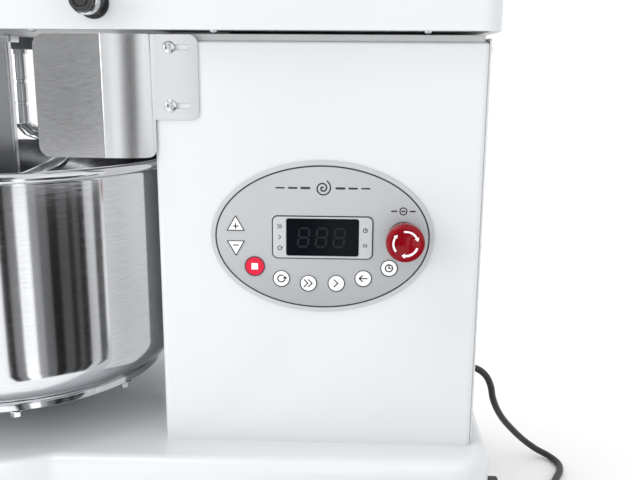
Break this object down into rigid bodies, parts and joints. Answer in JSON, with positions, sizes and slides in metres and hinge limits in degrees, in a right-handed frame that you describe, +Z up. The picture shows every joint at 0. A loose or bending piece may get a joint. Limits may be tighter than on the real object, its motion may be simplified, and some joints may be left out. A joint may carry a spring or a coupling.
{
  "type": "spiral dough mixer",
  "caption": "Floor-standing spiral dough mixer with a turning steel bowl, spiral hook, flat breaker bar, side panel with oval keypad and mushroom stop, and a hinged wire bowl guard.",
  "frame": {"origin": "on the floor, under the middle of the machine's own box, which the mains cord doesn't count in", "axes": "+Z up, -Y towards the bowl and the front, +Y towards the rear cover, +X towards the side with the control panel"},
  "size_m": [0.424, 0.9287, 0.9986],
  "materials": {
    "white_enamel": "gloss enamel, slightly cool white",
    "galvanised_steel": "galvanised",
    "rubber": "matt",
    "zinc_steel": "bright zinc",
    "grey_steel": "satin grey",
    "stainless_sheet": "fine vertical brush",
    "stainless_bowl": "turned, fine rings",
    "stainless_tool": "satin",
    "panel_overlay": "satin silver-grey film",
    "bezel_plastic": "satin",
    "display_glass": "smoked gloss",
    "circuit_board": "satin",
    "key_red": "satin",
    "key_white": "satin",
    "estop_red": "gloss",
    "black_plastic": "fine texture",
    "cord_rubber": "satin",
    "motor_paint": "satin grey",
    "cast_iron": "machined",
    "machined_steel": "ground",
    "switch_plastic": "satin"
  },
  "bodies": {
    "frame": {"base_shell": "white_enamel", "base_bottom_plate": "galvanised_steel", "foot_pads": "rubber", "foot_studs": "zinc_steel", "wall_buffers": "rubber", "column_shell": "white_enamel", "column_collar": "grey_steel", "rear_cover": "white_enamel", "rear_cover_screws": "zinc_steel", "side_shield_right": "stainless_sheet", "side_shield_left": "stainless_sheet", "shield_screws": "zinc_steel", "panel_plate": "panel_overlay", "display_bezel": "bezel_plastic", "display_window": "display_glass", "control_board": "circuit_board", "estop_collar": "black_plastic", "estop_contact_block": "black_plastic", "cord_gland": "black_plastic", "strain_relief": "cord_rubber", "power_cord": "cord_rubber", "cord_coil": "cord_rubber", "power_plug": "cord_rubber", "bowl_motor": "motor_paint", "bowl_belt": "cord_rubber", "bowl_bearing_housing": "cast_iron", "bowl_bearings": "machined_steel", "frame_pillar": "galvanised_steel", "electrical_box": "switch_plastic", "head_plate": "galvanised_steel", "head_cover": "white_enamel", "head_screws": "zinc_steel", "guard_switch": "switch_plastic", "spiral_gearmotor": "motor_paint", "spiral_belt": "cord_rubber", "spiral_bearing_housing": "cast_iron", "spiral_bearings": "machined_steel", "breaker_bar": "stainless_tool", "guard_pivots": "black_plastic"},
    "bowl": {"bowl": "stainless_bowl", "turntable": "stainless_bowl", "turntable_bolts": "stainless_bowl", "bowl_shaft": "machined_steel", "bowl_pulley": "cast_iron"},
    "bowl_motor_rotor": {"bowl_motor_pulley": "cast_iron"},
    "spiral": {"spiral_shaft": "stainless_tool", "spiral_hook": "stainless_tool", "spiral_pulley": "cast_iron"},
    "spiral_motor_rotor": {"spiral_motor_pulley": "cast_iron"},
    "guard": {"guard_frame": "stainless_tool"},
    "estop_stem": {"estop_plunger": "black_plastic"},
    "estop_button": {"estop_head": "estop_red"},
    "key_stop_cap": {"key_stop": "key_red"},
    "key_auto_cap": {"key_auto": "key_white"},
    "key_fast_cap": {"key_fast": "key_white"},
    "key_slow_cap": {"key_slow": "key_white"},
    "key_reverse_cap": {"key_reverse": "key_white"},
    "key_time_cap": {"key_time": "key_white"},
    "key_up_cap": {"key_up": "key_white"},
    "key_down_cap": {"key_down": "key_white"}
  },
  "joints": [
    {"name": "bowl_spin", "type": "hinge", "parent": "frame", "child": "bowl", "pos_m": [0, -0.188, 0.2], "axis": [0, 0, 1], "continuous": true},
    {"name": "bowl_motor_spin", "type": "hinge", "parent": "frame", "child": "bowl_motor_rotor", "pos_m": [0, 0.19, 0.07], "axis": [0, 0, 1], "continuous": true},
    {"name": "spiral_spin", "type": "hinge", "parent": "frame", "child": "spiral", "pos_m": [-0.09, -0.206, 0.5], "axis": [0, 0, 1], "continuous": true},
    {"name": "spiral_motor_spin", "type": "hinge", "parent": "frame", "child": "spiral_motor_rotor", "pos_m": [-0.02, 0.19, 0.71], "axis": [0, 0, 1], "continuous": true},
    {"name": "guard_swing", "type": "hinge", "parent": "frame", "child": "guard", "pos_m": [0, -0.025, 0.605], "axis": [1, 0, 0], "range_deg": [0, 110]},
    {"name": "estop_push", "type": "slide", "parent": "frame", "child": "estop_stem", "axis": [-1, 0, 0], "range_m": [0, 0.005], "stiffness_N_per_m": 1500, "springref_m": -0.003},
    {"name": "estop_twist", "type": "hinge", "parent": "estop_stem", "child": "estop_button", "pos_m": [0.15, 0.2825, 0.374], "axis": [-1, 0, 0], "range_deg": [0, 30], "stiffness_Nm_per_rad": 0.2, "springref_deg": -11.46},
    {"name": "key_stop_press", "type": "slide", "parent": "frame", "child": "key_stop_cap", "axis": [-1, 0, 0], "range_m": [0, 0.0006], "stiffness_N_per_m": 800, "springref_m": -0.0006},
    {"name": "key_auto_press", "type": "slide", "parent": "frame", "child": "key_auto_cap", "axis": [-1, 0, 0], "range_m": [0, 0.0006], "stiffness_N_per_m": 800, "springref_m": -0.0006},
    {"name": "key_fast_press", "type": "slide", "parent": "frame", "child": "key_fast_cap", "axis": [-1, 0, 0], "range_m": [0, 0.0006], "stiffness_N_per_m": 800, "springref_m": -0.0006},
    {"name": "key_slow_press", "type": "slide", "parent": "frame", "child": "key_slow_cap", "axis": [-1, 0, 0], "range_m": [0, 0.0006], "stiffness_N_per_m": 800, "springref_m": -0.0006},
    {"name": "key_reverse_press", "type": "slide", "parent": "frame", "child": "key_reverse_cap", "axis": [-1, 0, 0], "range_m": [0, 0.0006], "stiffness_N_per_m": 800, "springref_m": -0.0006},
    {"name": "key_time_press", "type": "slide", "parent": "frame", "child": "key_time_cap", "axis": [-1, 0, 0], "range_m": [0, 0.0006], "stiffness_N_per_m": 800, "springref_m": -0.0006},
    {"name": "key_up_press", "type": "slide", "parent": "frame", "child": "key_up_cap", "axis": [-1, 0, 0], "range_m": [0, 0.0006], "stiffness_N_per_m": 800, "springref_m": -0.0006},
    {"name": "key_down_press", "type": "slide", "parent": "frame", "child": "key_down_cap", "axis": [-1, 0, 0], "range_m": [0, 0.0006], "stiffness_N_per_m": 800, "springref_m": -0.0006}
  ],
  "couplings": [
    {"joint": "bowl_motor_spin", "follows": "bowl_spin", "ratio": 3.5333},
    {"joint": "spiral_motor_spin", "follows": "spiral_spin", "ratio": 1.5909}
  ]
}
